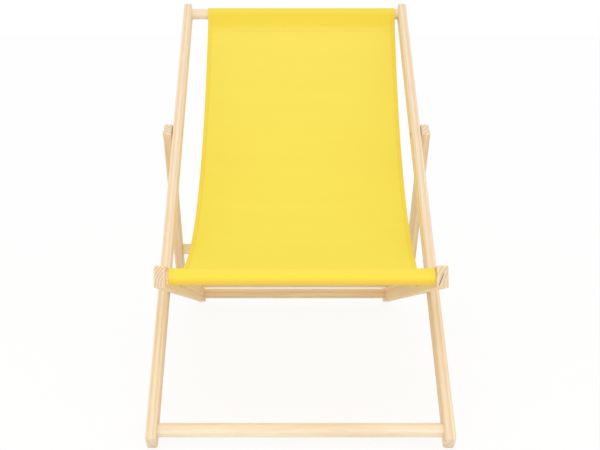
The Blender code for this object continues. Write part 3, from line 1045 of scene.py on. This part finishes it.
def sling_columns(sling):
    """The cloth's lengthwise lines: the left hem's turned-under layer, its fold and its top layer, the open
    cloth, and the same on the right. On the open cloth side is 0 and inset is a share of the half width."""
    fold = sling.layer / 2
    eased = fold * FOLD_ROUND
    lines = [sling.hem * share for share in HEM_LINES]
    under = [(inset, -sling.layer) for inset in (sling.hem, *reversed(lines), fold)]
    edge = [(eased, eased - sling.layer), (0.0, -fold), (eased, -eased)]
    over = [(inset, 0.0) for inset in (fold, *lines, sling.hem * (1 - HEM_BLUR))]
    right = [Column(1, inset, lift, 1.0, 1.0) for inset, lift in under + edge + over]
    right.append(Column(1, sling.hem * (1 + HEM_BLUR), 0.0, 1.0, 0.0))
    left = [column._replace(side=-1) for column in right]
    open_cloth = [Column(0, -1 + 2 * share, 0.0, 0.0, 0.0) for share in steps(0, 1, 1 / OPEN_LINES)[1:]]
    return left + open_cloth + right[::-1]


def slack_wave(x, station, sling):
    """Height of the open cloth's waves, of the gathers beside the hems and of the packing crease."""
    ripple = noise.noise(Vector((x / RIPPLE_WIDE, station.run / RIPPLE_LONG, RIPPLE_SLICE)))
    gather = noise.noise(Vector((x / GATHER_WIDE, station.run / GATHER_LONG, GATHER_SLICE)))
    beside_hem = exp((abs(x) - sling.width / 2) / GATHER_REACH)
    crease = sling.crease * exp(-abs(station.from_fold) / CREASE_REACH)
    return sling.ripple * ripple + sling.pucker * beside_hem * gather + crease


def sling_point(station, column, sling):
    """Where a line of the cloth crosses a section."""
    half = sling.width / 2
    if column.side:
        x = column.side * (half - column.inset)
    else:
        x = column.inset * (half - OPEN_FROM * sling.hem)
    across = 1 - (x / half) ** 2
    lift = column.lift + station.under * column.thick * 2 * sling.layer
    lift += station.loose * (slack_wave(x, station, sling) - sling.cross_sag * across)
    spot = station.place + station.normal * lift
    return Vector((x + station.shift, spot.x, spot.y))


def cloth_mark(station, column, sling):
    """The same point on the flat cloth, in metres."""
    half = sling.width / 2
    if not column.side:
        return column.inset * (half - sling.hem), station.run
    under = column.lift < -sling.layer / 2
    return column.side * (half + column.inset if under else half - column.inset), station.run


def sew_sling(sling, stations):
    """The sling as one cloth with folded hems and two sleeves."""
    columns = sling_columns(sling)
    last_column, last_row = len(columns) - 1, len(stations) - 1
    deselect()
    bpy.ops.mesh.primitive_grid_add(x_subdivisions=last_column, y_subdivisions=last_row, size=1)
    cloth = started("sling_canvas")
    mesh = cloth.data
    spots = [(round((point.co.x + 0.5) * last_column), round((point.co.y + 0.5) * last_row))
             for point in mesh.vertices]
    layers = mesh.attributes.new("doubled", "FLOAT", "POINT")
    # Where the painted shade of a roll's underside lies
    roll_shading = mesh.attributes.new("pressed", "FLOAT", "POINT")
    marks = mesh.uv_layers.active
    marks.name = "cloth"
    for point, (column, row) in zip(mesh.vertices, spots):
        point.co = sling_point(stations[row], columns[column], sling)
        layers.data[point.index].value = max(stations[row].doubled, columns[column].doubled)
        roll_shading.data[point.index].value = stations[row].pressed
    for corner in mesh.loops:
        column, row = spots[corner.vertex_index]
        marks.data[corner.index].uv = cloth_mark(stations[row], columns[column], sling)
    modify(cloth, "SOLIDIFY", thickness=sling.cloth, offset=0.0, use_even_offset=False)
    bpy.ops.object.shade_smooth()
    return cloth


def hem_stitches(sling, stations, clear):
    """Place, direction and outward normal of the stitches along the hems, on both faces."""
    start, end = stations[0].run + sling.flap, stations[-1].run - sling.flap
    columns = [Column(side, sling.hem - HEM_ROW, lift, 0.0, 1.0)
               for side in SIDES.values() for lift in (clear, -sling.layer - clear)]
    for column in columns:
        for run in steps(start, end, sling.stitch_step):
            here = station_at(stations, run)
            spot = sling_point(here, column, sling)
            ahead = sling_point(station_at(stations, run + PROBE), column, sling)
            yield spot, (ahead - spot).normalized(), Vector((0, *here.normal))


def seam_stitches(sling, stations, clear):
    """Place, direction and outward normal of the stitches across the sleeves' seams and flaps."""
    half = sling.width / 2
    free = [station.run for station in stations if not station.doubled]
    pairs = ((free[0], free[-1], SEAM_ROWS), (stations[0].run, stations[-1].run, FLAP_ROWS))
    runs = [run for low, high, rows in pairs
            for run in [low + row for row in rows] + [high - row for row in rows]]
    for run in runs:
        here = station_at(stations, run)
        for x in steps(-half + ROW_END, half - ROW_END, sling.stitch_step):
            thick = 1.0 if half - abs(x) < sling.hem else 0.0
            column = Column(1, half - x, clear, thick, 1.0)
            yield sling_point(here, column, sling), X_AXIS, Vector((0, *here.normal))


def sew_stitches(sling, stations):
    """Every stitch of the hems and the sleeves, as one piece."""
    deselect()
    bpy.ops.mesh.primitive_uv_sphere_add(segments=6, ring_count=4, radius=1)
    stitches = started("sling_stitching")
    one = stitches.data.copy()
    sewn = bmesh.new()
    clear = sling.cloth / 2 + sling.thread * THREAD_PROUD
    places = (*hem_stitches(sling, stations, clear), *seam_stitches(sling, stations, clear))
    for spot, along, outward in places:
        across = outward.cross(along).normalized()
        outward = outward * sling.thread * THREAD_FLAT
        axes = Matrix((across * sling.thread, outward, along * sling.stitch / 2)).transposed()
        first = len(sewn.verts)
        sewn.from_mesh(one)
        sewn.verts.ensure_lookup_table()
        bmesh.ops.transform(sewn, matrix=Matrix.Translation(spot) @ axes.to_4x4(), verts=sewn.verts[first:])
    sewn.to_mesh(stitches.data)
    sewn.free()
    bpy.data.meshes.remove(one)
    with edit_mode(stitches):
        bpy.ops.mesh.normals_make_consistent(inside=False)
    bpy.ops.object.shade_smooth()
    return stitches


# Operators

class DECKCHAIR_OT_rails(bpy.types.Operator):
    """Make the six pine rails"""
    bl_idname = "deck_chair.rails"
    bl_label = "Plane the rails"

    def execute(self, context):
        scene = context.scene
        for kind, dowels in FRAMES.values():
            for side in SIDES:
                rail(kind, dowels, side, scene.deck_chair_timber, scene.deck_chair_fittings)
        return {"FINISHED"}


class DECKCHAIR_OT_dowels(bpy.types.Operator):
    """Make the six pine dowels"""
    bl_idname = "deck_chair.dowels"
    bl_label = "Turn the dowels"

    def execute(self, context):
        scene = context.scene
        for label in DOWELS:
            dowel_bar(label, scene.deck_chair_timber, scene.deck_chair_fittings)
        return {"FINISHED"}


class DECKCHAIR_OT_pivots(bpy.types.Operator):
    """Make the bolts, sleeve nuts and washers of the four pivots"""
    bl_idname = "deck_chair.pivots"
    bl_label = "Fit the pivots"

    def execute(self, context):
        fittings = context.scene.deck_chair_fittings
        zinc = zinc_plate(fittings)
        nylon = natural_nylon(fittings)
        # What makes each kind, which way its head faces, and its slot, process and finish
        kinds = (("bolt", connector_bolt, 1, "hardware", "plated", zinc),
                 ("sleeve_nut", sleeve_nut, -1, "hardware", "plated", zinc),
                 ("washer", washer, 1, "washer", "moulded", nylon))
        for pivot in PIVOTS:
            for kind, make, facing, slot, process, finish in kinds:
                labels = {f"{pivot}_{kind}_{side}": way * facing for side, way in SIDES.items()}
                put_copies(make(f"{pivot}_{kind}_left", fittings), labels, slot, process, finish)
        return {"FINISHED"}


class DECKCHAIR_OT_screws(bpy.types.Operator):
    """Make the twelve countersunk screws in the dowels' ends"""
    bl_idname = "deck_chair.screws"
    bl_label = "Drive the screws"

    def execute(self, context):
        fittings = context.scene.deck_chair_fittings
        screws = {f"{dowel}_screw_{side}": way for dowel in DOWELS for side, way in SIDES.items()}
        master = wood_screw(next(iter(screws)), fittings)
        put_copies(master, screws, "hardware", "plated", bpy.data.materials["yellow_zinc_plated_steel"])
        return {"FINISHED"}


class DECKCHAIR_OT_sling(bpy.types.Operator):
    """Sew the canvas sling and hang it on its two dowels"""
    bl_idname = "deck_chair.sling"
    bl_label = "Sew the sling"

    def execute(self, context):
        sling = context.scene.deck_chair_sling
        stations = sling_stations(sling)
        cloth = sew_sling(sling, stations)
        cloth.data.materials.append(polyester_canvas(sling))
        stitches = sew_stitches(sling, stations)
        stitches.data.materials.append(polyester_thread(sling))
        start, end = middle("front_dowel"), middle("top_dowel")
        for piece in (cloth, stitches):
            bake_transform(piece)
            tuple(start)
            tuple(end)
        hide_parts("sling")
        return {"FINISHED"}


class DECKCHAIR_OT_stage(bpy.types.Operator):
    """Set the floor, the lights and the camera"""
    bl_idname = "deck_chair.stage"
    bl_label = "Set the stage"

    def execute(self, context):
        scene = context.scene
        stage = scene.deck_chair_stage
        self.lay_floor(stage)
        self.surround(scene, stage)
        self.hang_lamp("key", stage.key, stage.key_side, stage.key_place, stage.target)
        self.hang_lamp("low", stage.low, stage.low_side, stage.low_place, stage.target)
        self.aim(scene, stage)
        scene.view_settings.view_transform = "Standard"
        return {"FINISHED"}

    def lay_floor(self, stage):
        """A wide sheet of paper under the chair."""
        deselect()
        bpy.ops.mesh.primitive_plane_add(size=stage.floor)
        floor = started("floor")
        floor.data.materials.append(white_paper(stage))

    def surround(self, scene, stage):
        """Even light from all round, which the camera sees as white."""
        scene.world = bpy.data.worlds.new("studio")
        scene.world.use_nodes = True
        tree = scene.world.node_tree
        tree.nodes.clear()
        rays = node(tree, "ShaderNodeLightPath")
        level = node(tree, "ShaderNodeMapRange",
                     {"Value": rays.outputs["Is Camera Ray"], "To Min": stage.fill, "To Max": 1.0})
        sky = node(tree, "ShaderNodeBackground", {"Color": WHITE, "Strength": level.outputs[0]})
        node(tree, "ShaderNodeOutputWorld", {"Surface": sky.outputs[0]})

    def hang_lamp(self, name, power, side, place, target):
        """A square soft lamp in front of the chair, turned to face a target."""
        turn = (target - place).to_track_quat("-Z", "Y").to_euler()
        bpy.ops.object.light_add(type="AREA", location=place, rotation=turn)
        lamp = bpy.context.object
        lamp.name = name
        lamp.data.energy = power
        lamp.data.size = side

    def aim(self, scene, stage):
        """The camera in front of the chair, a little above the top of its back."""
        bpy.ops.object.camera_add(location=stage.camera, rotation=(pi / 2 - stage.tilt, 0, 0))
        camera = bpy.context.object
        camera.data.lens = stage.lens
        camera.data.shift_x = stage.slide
        scene.camera = camera


class DECKCHAIR_PT_panel(bpy.types.Panel):
    """The chair's settings and the steps that build it"""
    bl_idname = "DECKCHAIR_PT_panel"
    bl_label = "Folding deck chair"
    bl_space_type = "VIEW_3D"
    bl_region_type = "UI"
    bl_category = "Deck chair"

    def draw(self, context):
        for label in GROUPS:
            box = self.layout.box()
            box.label(text=label.removeprefix("deck_chair_").title())
            settings = getattr(context.scene, label)
            for name in settings.__annotations__:
                box.prop(settings, name)
        for operator in OPERATORS:
            self.layout.operator(operator.bl_idname)


GROUPS = {
    "deck_chair_timber": DeckChairTimber,
    "deck_chair_fittings": DeckChairFittings,
    "deck_chair_sling": DeckChairSling,
    "deck_chair_stage": DeckChairStage,
}
OPERATORS = (DECKCHAIR_OT_rails, DECKCHAIR_OT_dowels, DECKCHAIR_OT_pivots, DECKCHAIR_OT_screws,
             DECKCHAIR_OT_sling, DECKCHAIR_OT_stage)
CLASSES = (*GROUPS.values(), *OPERATORS, DECKCHAIR_PT_panel)


def register():
    for item in CLASSES:
        bpy.utils.register_class(item)
    for label, group in GROUPS.items():
        setattr(bpy.types.Scene, label, bpy.props.PointerProperty(type=group))


def unregister():
    for label in GROUPS:
        delattr(bpy.types.Scene, label)
    for item in reversed(CLASSES):
        bpy.utils.unregister_class(item)


def main():
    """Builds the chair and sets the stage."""
    register()
    bpy.ops.deck_chair.rails()
    bpy.ops.deck_chair.dowels()
    bpy.ops.deck_chair.pivots()
    bpy.ops.deck_chair.screws()
    bpy.ops.deck_chair.sling()
    bpy.ops.deck_chair.stage()


if __name__ == "__main__":
    main()
